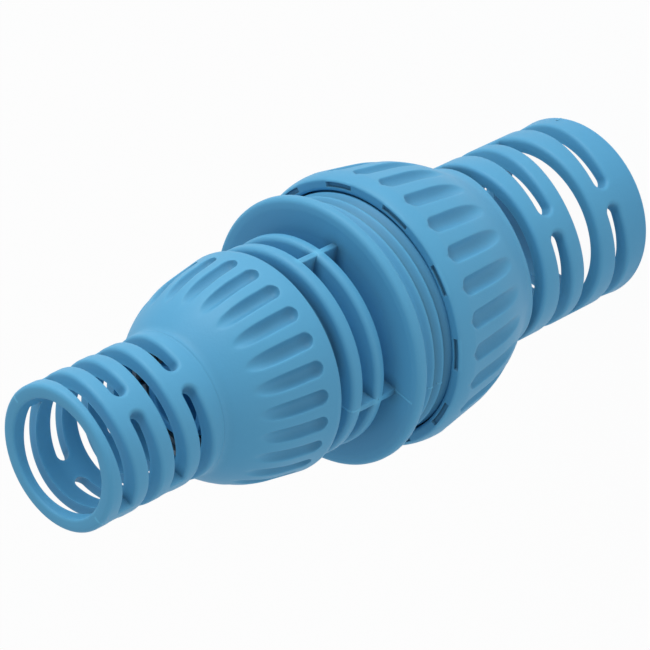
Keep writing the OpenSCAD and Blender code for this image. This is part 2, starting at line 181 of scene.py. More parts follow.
def rounded(corners: list[tuple[float, float, float]]) -> list[Vector]:
    """Rounds the corners of a closed section.

    Args:
        corners: Radius, height and rounding radius of each corner.

    Returns:
        The points of the section, as radius and height.
    """
    points: list[Vector] = []
    chords = 4
    for i, (x, y, r) in enumerate(corners):
        here = Vector((x, y))
        back = Vector(corners[i - 1][:2]) - here
        ahead = Vector(corners[(i + 1) % len(corners)][:2]) - here
        if r <= 0.0:
            points.append(here)
            continue
        half = back.angle(ahead) / 2.0
        reach = min(r / tan(half), 0.48 * back.length, 0.48 * ahead.length)
        r = reach * tan(half)
        hub = here + (back.normalized() + ahead.normalized()).normalized() * (r / sin(half))
        start = here + back.normalized() * reach - hub
        sweep = start.angle_signed(here + ahead.normalized() * reach - hub)
        for k in range(chords + 1):
            turned = start.copy()
            turned.rotate(Matrix.Rotation(-sweep * k / chords, 2))
            points.append(hub + turned)
    return points


def fill(node: Node, values: dict[str | int, float | tuple]) -> Node:
    """Sets a node's inputs, each by its name or number, and returns the node."""
    for name, value in values.items():
        node.inputs[name].default_value = value
    return node


def join(tree: NodeTree, *wires: tuple) -> None:
    """Wires a tree's nodes: each wire is a node and its output, then a node and its input."""
    for source, output, reached, entry in wires:
        tree.links.new(source.outputs[output], reached.inputs[entry])


@dataclass(frozen=True)
class Grooves:
    """The grip grooves of one dome.

    Attributes:
        count: Number of grooves.
        radius, depth: Radius of a groove's round section, and its depth at the blunt end.
        start, end: Heights above the mouth of the blunt end's centre and of the fading end.
        fade: Depth that is left there.
        first: Turn of the first groove, in grooves.
        lip: How softly the lips are rounded.
    """

    count: int
    radius: float
    depth: float
    start: float
    end: float
    fade: float
    first: float
    lip: float = 0.26


@dataclass(frozen=True)
class SlotRow:
    """One row of two bowed slots in a bend sleeve.

    Attributes:
        near, far: Heights of the edges toward the dome and the open end, at the front.
        near_bow, far_bow: How far each edge has moved where it passes the sleeve's side.
        blade: Whether the ends are square and the bridges lie at the sides.
    """

    near: float
    far: float
    near_bow: float
    far_bow: float
    blade: bool


@dataclass(frozen=True)
class Ring:
    """One ring of points round a nut.

    Attributes:
        t: Height above the mouth, at the front.
        r: Radius, or 0 where the ring lies on the outer skin.
        bow: How far the ring moves where it passes the sleeve's side.
        slot, rise: Slot row that it lies in, or -1, and place from edge -1 to edge 1.
        grooved: Whether the grip grooves may cross it.
        pocket: How far it sinks in the mouth pockets.
        soft: Whether slot edges are rounded on it.
        lift: How far it stands proud of the skin, on the mould's witness line.
    """

    t: float
    r: float = 0.0
    bow: float = 0.0
    slot: int = -1
    rise: float = 0.0
    grooved: bool = False
    pocket: float = 0.0
    soft: bool = False
    lift: float = 0.0


@dataclass
class Nut:
    """A domed nut with grip grooves and a slotted bend sleeve.

    Heights run from the nut's mouth to the sleeve's open end, and the front is at angle 0.

    Attributes:
        name: The CAD node that it stands for.
        mouth_z: Height of its mouth above the coupling's foot.
        turn: Turn of its front from the camera's side, in degrees.
        down: Whether its sleeve points down.
        rim_r, lip_r, rim_drop: Widest radius, radius at the mouth, and height between them.
        skirt_slope, cone_slope: Fall of the dome's radius by the mouth and by the sleeve.
        dome_round, base_round: Radii that join the slopes, and the dome to the sleeve.
        dome_h, height: Height of the sleeve's foot, and of the whole nut.
        sleeve_r, bore_r: Outer radius and bore radius of the sleeve.
        end_soft, bore_soft: Rounding of the open end's outer and inner edge.
        lead_in, lead_rise: Length and flare of the bore's mouth, or 0.
        thread_bore_r, neck_end_t: Radius over the neck's thread, and height of the neck's end.
        seat_r: Radius of the thrust ring's seat.
        cone_t, cone_top_r, cone_end_t: Foot of the squeezing cone, radius there, and its end.
        grooves, rows: The grip grooves, and the slot rows from the open end on.
        bow_sign, slot_soft: Which way the slots bow, and the rounding of their edges.
        pockets, pocket_half, pocket_depth: Number of mouth pockets, half their angle, depth.
        bridge_half: Half the width of a bridge between slots.
        witness_t: Height of the mould's witness line above the dome's foot, or 0.
        seam_turn: Turn of the mould's parting, in degrees.
        per_groove: Number of steps round the nut for each groove.
        rings: Rings of points, which the rest gives.
        LIP_SHARES, LIP_STEPS: Columns in a groove, as shares of its half, and beyond its lip.
        SOFT, WITNESS: Rings on a slot's rounded edge, and on the witness line.
        BLADE_RISES, ROUND_RISES: Rings within a row of square and of round-ended slots.
    """

    name: str
    mouth_z: float
    turn: float
    down: bool
    rim_r: float
    lip_r: float
    rim_drop: float
    skirt_slope: float
    cone_slope: float
    dome_round: float
    base_round: float
    dome_h: float
    sleeve_r: float
    bore_r: float
    height: float
    end_soft: float
    bore_soft: float
    lead_in: float
    lead_rise: float
    thread_bore_r: float
    neck_end_t: float
    seat_r: float
    cone_t: float
    cone_top_r: float
    cone_end_t: float
    grooves: Grooves
    rows: list[SlotRow]
    bow_sign: float
    slot_soft: float
    pockets: int = 0
    pocket_half: float = radians(6.9)
    pocket_depth: float = 0.45
    bridge_half: float = 1.7
    witness_t: float = 0.0
    seam_turn: float = 13.8
    per_groove: int = 20
    rings: list[Ring] = field(init=False, default_factory=list)

    LIP_SHARES = (0.0, 0.30, 0.57, 0.78, 0.92, 0.985)
    LIP_STEPS = (0.07, 0.20)
    SOFT = (0.076, 0.293, 0.617, 1.0)
    WITNESS = ((-0.16, 0.0), (-0.05, 0.055), (0.05, 0.055), (0.16, 0.0))
    BLADE_RISES = (-1.0, -0.92, -0.75, -0.4, 0.0, 0.4, 0.75, 0.92, 1.0)
    ROUND_RISES = tuple(sin(radians(a)) for a in range(-90, 91, 15))

    def __post_init__(self) -> None:
        """Works out the dome's roundings, the lean of the grooves and the rings."""
        self.side = -1.0 if self.down else 1.0
        self.steps = self.grooves.count * self.per_groove
        self.step = TAU / self.steps
        a0, a1 = atan(self.skirt_slope), atan(self.cone_slope)
        corner = (
            self.rim_r + self.skirt_slope * self.rim_drop
            - self.sleeve_r - self.cone_slope * self.dome_h
        ) / (self.skirt_slope - self.cone_slope)
        reach = self.dome_round * tan((a1 - a0) / 2.0)
        self.arc_start = corner - reach * cos(a0)
        self.arc_end = corner + reach * cos(a1)
        self.arc_r = self._plain(self.arc_start) - self.dome_round * cos(a0)
        self.arc_t = self.arc_start - self.dome_round * sin(a0)
        base = self.base_round * tan(a1 / 2.0)
        self.base_start = self.dome_h - base * cos(a1)
        self.base_end = self.dome_h + base
        g = self.grooves
        self.start_r = self._plain(g.start) - g.depth + g.radius
        end_r = self._plain(g.end) + g.radius - g.fade
        self.lean = atan((self.start_r - end_r) / (g.end - g.start))
        scan = 0.02
        heights = [self.rim_drop + scan * i for i in range(int((self.dome_h - 2) / scan))]
        crossed = [t for t in heights if self._cut(self.skin(t), t)[0] > 0.0]
        self.groove_low, self.groove_high = crossed[0], crossed[-1]
        self.rings = self._outer() + self._inner()

    def _plain(self, t: float) -> float:
        """Gives the dome's radius at height t before its corners are rounded."""
        cone = max(self.sleeve_r - self.cone_slope * (t - self.dome_h), self.sleeve_r)
        return min(self.rim_r - self.skirt_slope * (t - self.rim_drop), cone)

    def skin(self, t: float) -> float:
        """Gives the outer skin's radius, without grooves.

        Args:
            t: Height.

        Returns:
            The radius there.
        """
        if self.arc_start < t < self.arc_end:
            return self.arc_r + sqrt(self.dome_round ** 2 - (t - self.arc_t) ** 2)
        if self.base_start < t < self.base_end:
            fall = sqrt(self.base_round ** 2 - (self.base_end - t) ** 2)
            return self.sleeve_r + self.base_round - fall
        return self._plain(t)

    def _cut(self, r: float, t: float) -> tuple[float, float, float]:
        """Places a skin point against a groove's round rod.

        Args:
            r: The point's radius in the groove's middle plane.
            t: Its height.

        Returns:
            Square of the half-width that the rod cuts there, the point's distance beyond the
            rod's axis, and its distance before the rod's blunt end.
        """
        out, up = r - self.start_r, t - self.grooves.start
        along = up * cos(self.lean) - out * sin(self.lean)
        beyond = out * cos(self.lean) + up * sin(self.lean)
        before = min(along, 0.0)
        return self.grooves.radius ** 2 - beyond ** 2 - before ** 2, beyond, before

    def _outer(self) -> list[Ring]:
        """Lists the rings from the mouth over the dome and sleeve to the open end."""
        bevel = 0.25
        rings = [Ring(bevel, self.thread_bore_r), Ring(0.0, self.thread_bore_r + bevel)]
        if self.pockets:
            inner, outer = self.lip_r - 0.95, self.lip_r - 0.15
            rings += [
                Ring(0.0, inner - 0.06), Ring(0.0, inner, pocket=self.pocket_depth),
                Ring(0.0, outer, pocket=self.pocket_depth), Ring(0.0, outer + 0.04),
            ]
        blunt_step, fade_step, plain_step = 0.22, 0.30, 0.55
        for i in range(8):
            a = pi / 2.0 * i / 8.0
            swell = (self.rim_r - self.lip_r) * sin(a)
            rings.append(Ring(self.rim_drop * (1.0 - cos(a)), self.lip_r + swell, grooved=True))
        last = self.rows[-1]
        t = self.rim_drop
        stop = min(self.base_end, last.near - self.slot_soft - 0.5)
        witness = self.base_end + self.witness_t
        while t < stop:
            rings.append(Ring(t, grooved=t < self.groove_high + 2.5))
            if t < self.groove_low + self.grooves.radius:
                t += blunt_step
            elif self.groove_high - 3.0 < t < self.groove_high:
                t += fade_step
            else:
                t += plain_step
        if self.witness_t > 0.0:
            rings += [Ring(witness + s, lift=h) for s, h in self.WITNESS]
            stop = witness + self.WITNESS[-1][0]
        foot = last.near - self.slot_soft
        for i in range(1, 8):
            f = i / 8.0
            rings.append(Ring(stop + (foot - stop) * f, bow=last.near_bow * f, soft=True))
        for number, row in reversed(list(enumerate(self.rows))):
            rings += [
                Ring(row.near - self.slot_soft * s, bow=row.near_bow, soft=True)
                for s in reversed(self.SOFT)
            ]
            rings += self._slot(number, 0.0)
            rings += [
                Ring(row.far + self.slot_soft * s, bow=row.far_bow, soft=True)
                for s in self.SOFT
            ]
        for i in range(7):
            a = pi / 2.0 * i / 6.0
            rings.append(Ring(
                self.height - self.end_soft * (1.0 - sin(a)),
                self.sleeve_r - self.end_soft * (1.0 - cos(a)),
            ))
        return rings

    def _slot(self, number: int, r: float) -> list[Ring]:
        """Lists the rings within one slot row, from its near edge to its far edge.

        Args:
            number: The row's place in the list of rows.
            r: Radius of the rings, or 0 on the outer skin.

        Returns:
            The rings.
        """
        row = self.rows[number]
        rings = []
        for rise in self.BLADE_RISES if row.blade else self.ROUND_RISES:
            f = (rise + 1.0) / 2.0
            rings.append(Ring(
                row.near + (row.far - row.near) * f, r,
                row.near_bow + (row.far_bow - row.near_bow) * f, number, rise, soft=r == 0.0,
            ))
        return rings

    def _inner(self) -> list[Ring]:
        """Lists the rings from the open end back through the bore to the mouth."""
        rings = []
        soft, ease = self.bore_soft, 0.15
        wide = self.bore_r + (self.lead_rise + soft)
        for i in range(4):
            a = pi / 2.0 * i / 3.0
            rings.append(Ring(self.height - soft * (1.0 - cos(a)), wide - soft * sin(a)))
        if self.lead_in > 0.0:
            rings.append(Ring(self.height - self.lead_in, self.bore_r))
        for number in range(len(self.rows)):
            rings += reversed(self._slot(number, self.bore_r))
        rings += [
            Ring(self.cone_end_t, self.bore_r), Ring(self.cone_t, self.cone_top_r),
            Ring(self.cone_t, self.seat_r), Ring(self.neck_end_t + ease, self.seat_r),
            Ring(self.neck_end_t, self.thread_bore_r),
        ]
        return rings

    def _from_bridge(self, column: int, row: SlotRow) -> int:
        """Counts the steps from a column to the nearest middle of a bridge.

        Args:
            column: The column.
            row: The slot row.

        Returns:
            The number of steps, with its sign.
        """
        half = self.steps // 2
        shifted = column - (self.steps // 4 if row.blade else 0)
        return (shifted + half // 2) % half - half // 2

    def _bridge_edge(self, row: SlotRow) -> int:
        """Counts the steps from the middle of a bridge to its edge."""
        reach = self.bridge_half + (0.0 if row.blade else (row.far - row.near) / 2.0)
        return round(asin(reach / self.sleeve_r) / self.step)

    def _warp(self, ring: Ring, column: int, r: float) -> float:
        """Turns a point so that the columns follow the ends of the slots.

        Args:
            ring: The point's ring.
            column: Its step round the nut.
            r: Its radius.

        Returns:
            The point's angle.
        """
        row = self.rows[ring.slot]
        count = self._from_bridge(column, row)
        edge = self._bridge_edge(row)
        reach = self.bridge_half
        if not row.blade:
            end_r = (row.far - row.near) / 2.0
            reach += end_r * (1.0 - sqrt(max(1.0 - ring.rise ** 2, 0.0)))
        goal = asin(reach / r)
        psi, brim = abs(count) * self.step, edge * self.step
        if psi <= brim:
            moved = psi * goal / brim
        else:
            quarter = pi / 2.0
            moved = goal + (psi - brim) * (quarter - goal) / (quarter - brim)
        return column * self.step + copysign(moved, count) - count * self.step

    def _slot_gap(self, phi: float, t: float) -> float:
        """Measures how far a point of the outer skin is from the nearest slot's outline.

        Args:
            phi: The point's angle.
            t: Its height.

        Returns:
            The distance, or infinity far off.
        """
        y, x = abs(sin(phi)), abs(cos(phi))
        bulge = y * y * self.bow_sign
        gap = inf
        for row in self.rows:
            near = row.near + bulge * row.near_bow
            far = row.far + bulge * row.far_bow
            off = max(near - t, t - far)
            if off > self.slot_soft:
                continue
            if row.blade:
                side = self.bridge_half - x * self.sleeve_r
                off = hypot(side, off) if side > 0.0 and off > 0.0 else max(side, off)
            else:
                end_r = (row.far - row.near) / 2.0
                side = self.bridge_half + end_r - y * self.sleeve_r
                if side > 0.0:
                    off = hypot(side, t - (near + far) / 2.0) - end_r
            gap = min(gap, off)
        return gap

    def _groove_angle(self, ring: Ring, column: int, r: float) -> tuple[float, float]:
        """Turns a point so that the columns follow the grooves' lips.

        Args:
            ring: The point's ring.
            column: Its step round the nut.
            r: Its radius.

        Returns:
            The point's angle, and its distance from the middle of its groove.
        """
        half, least_half, ease_t = self.per_groove // 2, 0.15, 2.2
        inner, outer = len(self.LIP_SHARES), len(self.LIP_STEPS)
        shifted = column - round(self.grooves.first * self.per_groove)
        count = (shifted + half) % self.per_groove - half
        index, middle = abs(count), (column - count) * self.step
        width = max(sqrt(max(self._cut(r, ring.t)[0], 0.0)), least_half)
        if index < inner:
            psi = asin(width * self.LIP_SHARES[index] / r)
        else:
            step = min(index - inner, outer - 1)
            psi = asin((width + self.LIP_STEPS[step]) / r)
            rest = index - inner - outer + 1
            if rest > 0:
                psi += (pi / self.grooves.count - psi) * rest / (half - inner - outer + 1)
        away = max(self.groove_low - ring.t, ring.t - self.groove_high, 0.0)
        ease = max(0.0, 1.0 - away / ease_t)
        ease = ease * ease * (3.0 - 2.0 * ease)
        psi = psi * ease + index * self.step * (1.0 - ease)
        return middle + copysign(psi, count), r * sin(psi)

    def _groove_depth(self, r: float, t: float, y: float) -> float:
        """Gives the depth that a groove takes from the skin, with soft lips.

        Args:
            r: Radius of the skin.
            t: Height of the point.
            y: Distance of the point from the groove's middle plane.

        Returns:
            The depth across the lean of the groove.
        """
        space, beyond, before = self._cut(sqrt(r * r - y * y), t)
        left, steep = space - y * y, 1.2
        if left > 0.0:
            depth = beyond + sqrt(left + beyond ** 2)
        else:
            depth = steep * (self.grooves.radius - sqrt(beyond ** 2 + before ** 2 + y * y))
        soft = self.grooves.lip
        return max(depth, 0.0) + max(soft - abs(depth), 0.0) ** 2 / (4.0 * soft)

    def _point(self, ring: Ring, column: int) -> Vector:
        """Places one point of the nut in the coupling's frame.

        Args:
            ring: The point's ring.
            column: Its step round the nut.

        Returns:
            The point.
        """
        phi, margin = column * self.step, 0.6
        r = ring.r or self.skin(ring.t) + ring.lift
        t = ring.t
        if ring.slot >= 0:
            phi = self._warp(ring, column, ring.r or self.sleeve_r)
        if ring.grooved:
            phi, y = self._groove_angle(ring, column, r)
            if self.groove_low - margin < t < self.groove_high + margin:
                depth = self._groove_depth(r, t, y)
                r -= depth * cos(self.lean)
                t -= depth * sin(self.lean)
        if ring.bow:
            share = sin(phi) * (ring.r or self.sleeve_r) / self.sleeve_r
            t += self.bow_sign * ring.bow * share * share
            r = ring.r or self.skin(t)
        if ring.soft:
            gap = self._slot_gap(phi, t)
            if gap < self.slot_soft:
                left = self.slot_soft - max(gap, 0.0)
                r -= self.slot_soft - sqrt(self.slot_soft ** 2 - left ** 2)
        if ring.pocket:
            pitch = TAU / self.pockets
            if abs((phi + pitch / 2.0) % pitch - pitch / 2.0) < self.pocket_half:
                t += ring.pocket
        turned = self.side * phi + radians(self.turn)
        return Vector((r * cos(turned), r * sin(turned), self.mouth_z + self.side * t))

    def build(self, shop: "Workshop") -> None:
        """Models the nut and dresses it.

        Args:
            shop: The workshop that dresses it.
        """
        shape = Shape.drum(len(self.rings), self.steps)
        labels = {p: Shape.label(p, len(self.rings), self.steps) for p in shape.verts}
        holes = [face for face in shape.faces if self._in_slot([labels[v] for v in face.verts])]
        bmesh.ops.delete(shape, geom=holes, context="FACES")
        self._wall_slots(shape, labels)
        for point in shape.verts:
            ring, column = labels[point]
            point.co = self._point(self.rings[ring], column)
        for quarter in (90.0, -90.0):
            Shape.seam(shape, self._seam_path(), radians(self.seam_turn + quarter))
        Shape.finish(shape, self.name, self.name, Finish.BLUE, shop)

    def _seam_path(self) -> list[tuple[float, float]]:
        """Lists radius and height of the flash's path over the open end's outer edge."""
        sink, inset, fall = 0.085, 0.9, 1.4
        bend, top = self.end_soft * (1.0 - sqrt(0.5)), self.height - sink
        path = [
            (self.bore_r + inset, top), (self.sleeve_r - self.end_soft, top),
            (self.sleeve_r - bend, self.height - bend),
            (self.sleeve_r, self.height - self.end_soft), (self.sleeve_r, self.height - fall),
        ]
        return [(r, self.mouth_z + self.side * t) for r, t in path]

    def _in_slot(self, labels: list[tuple[int, int]]) -> bool:
        """Tells whether a face of the drum lies in a slot.

        Args:
            labels: Ring and step of each of its points.

        Returns:
            Whether it does.
        """
        slot = self.rings[labels[0][0]].slot
        if slot < 0 or any(self.rings[ring].slot != slot for ring, _ in labels):
            return False
        row = self.rows[slot]
        edge = self._bridge_edge(row)
        return all(abs(self._from_bridge(column, row)) >= edge for _, column in labels)

    def _wall_slots(self, shape: BMesh, labels: dict[BMVert, tuple[int, int]]) -> None:
        """Joins each slot's outline on the outer skin with the one on the bore.

        Args:
            shape: The nut's mesh, with the slots' faces cut out.
            labels: Ring and step of each of its points.
        """
        half = self.steps // 2
        outlines: dict[tuple[int, int], list[BMEdge]] = {}
        for edge in shape.edges:
            if not edge.is_boundary:
                continue
            ring, column = labels[edge.verts[0]]
            slot = self.rings[ring].slot
            shifted = column + (half // 2 if self.rows[slot].blade else 0)
            outlines.setdefault((slot, shifted % self.steps // half), []).append(edge)
        for outline in outlines.values():
            bmesh.ops.bridge_loops(shape, edges=outline)


SMALL_NUT = Nut(
    name="small_nut", mouth_z=79.3, turn=13.8, down=False, rim_r=19.1, lip_r=18.85, rim_drop=1.0,
    skirt_slope=tan(radians(8.8)), cone_slope=tan(radians(38.0)),
    dome_round=22.0, base_round=1.4, dome_h=19.1, sleeve_r=12.4, bore_r=10.0, height=44.0,
    end_soft=0.8, bore_soft=0.45, lead_in=0.0, lead_rise=0.0, thread_bore_r=16.3, neck_end_t=7.1,
    seat_r=14.9, cone_t=9.25, cone_top_r=14.1, cone_end_t=19.7, bow_sign=-1.0, slot_soft=0.75,
    witness_t=0.3,
    grooves=Grooves(24, 1.4, 1.2, 4.2, 14.8, 0.25, 0.0),
    rows=[
        SlotRow(39.80, 42.30, 1.6, 1.6, True), SlotRow(34.25, 36.75, 1.6, 1.6, False),
        SlotRow(28.70, 31.20, 1.6, 1.6, True), SlotRow(23.15, 25.65, 1.6, 1.6, False),
    ],
)
LARGE_NUT = Nut(
    name="large_nut", mouth_z=56.3, turn=-2.9, seam_turn=-25.0, down=True, rim_r=24.1,
    lip_r=23.25, rim_drop=3.2,
    skirt_slope=tan(radians(8.8)), cone_slope=tan(radians(31.8)),
    dome_round=30.0, base_round=6.0, dome_h=25.0, sleeve_r=16.5, bore_r=14.1, height=56.3,
    end_soft=0.4, bore_soft=0.25, lead_in=3.0, lead_rise=0.4, thread_bore_r=21.6, neck_end_t=7.1,
    seat_r=20.2, cone_t=9.25, cone_top_r=19.4, cone_end_t=24.0, bow_sign=1.0, slot_soft=0.8,
    pockets=11,
    grooves=Grooves(26, 1.65, 1.2, 4.75, 18.0, 0.3, 0.5),
    rows=[
        SlotRow(47.40, 50.30, 2.5, 2.5, False), SlotRow(39.10, 43.90, 2.5, 0.5, True),
        SlotRow(32.70, 35.60, 2.5, 2.5, False), SlotRow(25.70, 29.20, 2.5, 0.5, True),
    ],
)


@dataclass(frozen=True)
class Thread:
    """A right-hand thread round a neck.

    Attributes:
        neck_r, crest_r: Radii of the neck and of the ridge's crest.
        front_z: Height of one turn of the crest at angle 0.
        first, last: Angles at which the ridge starts and ends, in degrees.
        pitch, crest_w: Rise of one turn, and width of the ridge's flat crest.
        steep_root, flat_root: Its feet on the steep and the gentle side of the crest's middle.
        fade, sink: Angle over which it runs out, and how far it is sunk into the neck.
    """

    neck_r: float
    crest_r: float
    front_z: float
    first: float
    last: float
    pitch: float = 2.25
    crest_w: float = 0.45
    steep_root: float = 0.55
    flat_root: float = 1.65
    fade: float = 32.0
    sink: float = 1.0


@dataclass
class CentreBody:
    """The flanged body with its two threaded necks and barbed hose tails.

    Attributes:
        small_root_z, flange_z: Heights of the small and the large neck's root.
        steps: Number of steps round the body.
        rib_turn: Turn of the first rib, in degrees.
        rib_t, rib_soft: Thickness of a rib, and the rounding of its edges.
        rib_in, rib_out: Radii between which the ribs lie.
        rib_low, rib_top: Heights between which they stand.
        barb_pitch, barb_h: Distance between the tails' barbs, and height and length of each.
        thread_step: Step along a thread, in degrees.
        seam_turn: Turn of the mould's parting, in degrees.
        threads: The large neck's thread and the small one's.
    """

    small_root_z: float = 76.0
    flange_z: float = 64.0
    steps: int = 240
    rib_turn: float = 39.0
    rib_t: float = 1.2
    rib_in: float = 11.1
    rib_out: float = 18.3
    rib_low: float = 64.75
    rib_top: float = 74.4
    rib_soft: float = 0.22
    barb_pitch: float = 4.0
    barb_h: float = 0.6
    thread_step: float = 3.0
    seam_turn: float = -50.0
    threads: tuple[Thread, ...] = (
        Thread(20.2, 21.3, 60.34, -1560.0, 96.0),
        Thread(14.9, 16.0, 77.75, -40.0, 1150.0),
    )

    def _tail(
        self, r: float, root: float, first: float, up: float
    ) -> list[tuple[float, float, float]]:
        """Lists the corners of three barbs, from the neck's floor to the tail's tip.

        Args:
            r: Radius of the tail.
            root: Height of the neck's root.
            first: Distance of the first barb from it.
            up: 1 for a tail that points up, -1 for one that points down.

        Returns:
            Radius, height and rounding radius of each corner.
        """
        corners = []
        for i in range(3):
            foot = first + self.barb_pitch * i
            corners.append((r, root + up * foot, 0.0))
            corners.append((r + self.barb_h, root + up * (foot + self.barb_h), 0.12))
        return corners

    def section(self) -> list[Vector]:
        """Gives the rounded section of the body, as radius and height."""
        top, low = self.small_root_z, self.flange_z
        small = self._tail(6.35, top, 9.9, 1.0)
        large = self._tail(9.5, low, 18.3, -1.0)
        corners = [
            (4.75, top + 21.9, 0.3), (6.05, top + 21.9, 0.3), *reversed(small),
            (6.35, top + 2.0, 0.4), (12.9, top + 2.0, 0.4), (12.9, top + 10.4, 0.3),
            (14.3, top + 10.4, 0.2), (14.9, top + 9.8, 0.2), (14.9, top, 0.5),
            (18.4, top, 0.95), (18.4, top - 2.3, 0.35), (11.6, top - 2.3, 0.5),
            (11.6, low + 6.6, 0.5), (18.4, low + 6.6, 0.9), (18.4, low + 4.7, 0.35),
            (11.6, low + 4.7, 0.5), (11.6, low + 1.5, 0.7), (17.5, low + 1.5, 3.0),
            (21.6, low + 1.9, 2.0), (23.5, low + 1.9, 1.35), (23.5, low, 0.4),
            (20.2, low, 0.45), (20.2, low - 14.2, 0.2), (19.6, low - 14.8, 0.2),
            (17.0, low - 14.8, 0.3), (17.0, low - 2.0, 0.4), (9.5, low - 2.0, 0.4), *large,
            (9.2, low - 30.3, 0.3), (7.9, low - 30.3, 0.3), (7.9, low, 1.0), (4.75, low + 9.7, 1.0),
        ]
        return rounded(corners)

    def _ribs(self, shape: BMesh) -> None:
        """Adds the four ribs that join the discs and the flange.

        Args:
            shape: The body's mesh.
        """
        length, height = self.rib_out - self.rib_in, self.rib_top - self.rib_low
        middle = Vector((self.rib_in + self.rib_out, 0.0, self.rib_low + self.rib_top)) / 2.0
        for i in range(4):
            points = bmesh.ops.create_cube(shape, size=1.0)["verts"]
            bmesh.ops.scale(shape, vec=(length, self.rib_t, height), verts=points)
            bmesh.ops.translate(shape, vec=middle, verts=points)
            edges = list({edge for point in points for edge in point.link_edges})
            made = bmesh.ops.bevel(
                shape, geom=edges, offset=self.rib_soft, offset_type="OFFSET", segments=3,
                profile=0.5, affect="EDGES", clamp_overlap=True, material=-1,
            )
            turned = list({point for face in made["faces"] for point in face.verts})
            spin = Matrix.Rotation(radians(self.rib_turn + 90.0 * i), 3, "Z")
            bmesh.ops.rotate(shape, cent=(0.0, 0.0, 0.0), matrix=spin, verts=turned)

    def _thread(self, shape: BMesh, thread: Thread) -> None:
        """Winds one thread ridge round its neck, run out at both ends.

        Args:
            shape: The body's mesh.
            thread: The thread to wind.
        """
        rise, crest = thread.crest_r - thread.neck_r, thread.crest_w / 2.0
        profile = [
            (-thread.sink, -thread.steep_root), (0.0, -thread.steep_root),
            (0.86 * rise, -crest - 0.04), (0.97 * rise, -crest + 0.08), (rise, 0.0),
            (0.97 * rise, crest - 0.05), (0.87 * rise, crest + 0.10),
            (0.0, thread.flat_root), (-thread.sink, thread.flat_root),
        ]
        count = round((thread.last - thread.first) / self.thread_step)
        least, thin, sink = 0.02, 0.35, 0.3
        coil = bmesh.new()
        bmesh.ops.create_grid(coil, x_segments=count, y_segments=len(profile), size=1.0)
        for point in coil.verts:
            k = round((point.co.x + 1.0) / 2.0 * count)
            out, along = profile[round((point.co.y + 1.0) / 2.0 * len(profile)) % len(profile)]
            angle = thread.first + (thread.last - thread.first) * k / count
            run = min(angle - thread.first, thread.last - angle) / thread.fade
            run = sin(min(max(run, least), 1.0) * pi / 2.0)
            phi = radians(angle)
            z = thread.front_z + thread.pitch * angle / 360.0 + along * (thin + (1.0 - thin) * run)
            r = thread.neck_r - sink * (1.0 - run) + out * run
            point.co = Vector((r * cos(phi), r * sin(phi), z))
        bmesh.ops.remove_doubles(coil, verts=coil.verts, dist=1e-5)
        bmesh.ops.holes_fill(coil, edges=[e for e in coil.edges if e.is_boundary], sides=0)
        strand = bpy.data.meshes.new("thread_strand")
        coil.to_mesh(strand)
        coil.free()
        shape.from_mesh(strand)
        bpy.data.meshes.remove(strand)

    @staticmethod
    def _ticks(thread: Thread, angle: float) -> list[list[tuple[float, float]]]:
        """Lists the flash paths over the thread's crests at one angle.

        Args:
            thread: The thread.
            angle: Angle of the mould's parting, in degrees.

        Returns:
            One path for each of the two turns nearest to the flange.
        """
        out = thread.crest_r - 0.03
        crests = [thread.front_z + thread.pitch * turn / 360.0 for turn in (angle, angle - 360.0)]
        return [[(out - 0.32, z + 0.62), (out, z + 0.2), (out, z - 0.2)] for z in crests]

    def build(self, shop: "Workshop") -> None:
        """Models the body and dresses it.

        Args:
            shop: The workshop that dresses it.
        """
        points = self.section()
        shape = Shape.drum(len(points), self.steps)
        for point in shape.verts:
            ring, column = Shape.label(point, len(points), self.steps)
            r, z = points[ring]
            phi = TAU * column / self.steps
            point.co = Vector((r * cos(phi), r * sin(phi), z))
        self._ribs(shape)
        top, low = self.small_root_z, self.flange_z
        seams = [
            [(17.9, low + 1.55), (21.5, low + 1.9), (22.4, low + 1.88)],
            [(15.1, top), (17.5, top), (18.15, top - 0.3), (18.4, top - 0.95), (18.4, top - 1.9)],
            [(18.4, low + 5.2), (18.4, low + 5.7)], [(23.5, low + 0.45), (23.5, low + 0.62)],
        ]
        for angle in (self.seam_turn, self.seam_turn - 180.0):
            for path in seams + self._ticks(self.threads[0], angle):
                Shape.seam(shape, path, radians(angle))
        for thread in self.threads:
            self._thread(shape, thread)
        Shape.finish(shape, "centre_body", "body", Finish.BLUE, shop)


@dataclass(frozen=True)
class Moulded:
    """A moulded plastic or rubber finish.

    Attributes:
        color, shade: Base colour, and the colour that the mottling leans to, linear.
        roughness: Roughness of the mould's surface.
        grain, grain_scale: Height of the spark-eroded grain in metres, and its frequency.
        edge: Paler colour painted on rounded edges as a painted highlight, linear.
        painted_shade: Painted shade, a dark colour mixed in deep in grooves and gaps, linear.
        reach, alone: Width in metres of the painted-shade hollows, and whether only the piece's own
            count.
        shine: Specular level.
    """

    color: tuple[float, float, float]
    shade: tuple[float, float, float]
    roughness: float
    grain: float
    grain_scale: float
    edge: tuple[float, float, float]
    painted_shade: tuple[float, float, float]
    reach: float
    alone: bool
    shine: float


# In each finish the edge colour is a painted highlight and the next one is painted shade for
# hollows; the white's painted shade is dark blue, standing for blue bounce light inside the blue
# shell.
FINISHES = {
    Finish.BLUE: Moulded(
        (0.117, 0.455, 0.730), (0.105, 0.420, 0.690), 0.52, 0.000019, 2400.0,
        (0.160, 0.570, 0.860), (0.018, 0.026, 0.066), 0.0024, True, 0.40,
    ),
    Finish.WHITE: Moulded(
        (0.72, 0.72, 0.68), (0.66, 0.66, 0.61), 0.42, 0.000006, 3000.0,
        (0.75, 0.75, 0.71), (0.02, 0.05, 0.09), 0.006, False, 0.5,
    ),
    Finish.RUBBER: Moulded(
        (0.020, 0.020, 0.022), (0.032, 0.032, 0.034), 0.72, 0.000010, 2200.0,
        (0.030, 0.030, 0.032), (0.015, 0.015, 0.016), 0.002, True, 0.5,
    ),
}


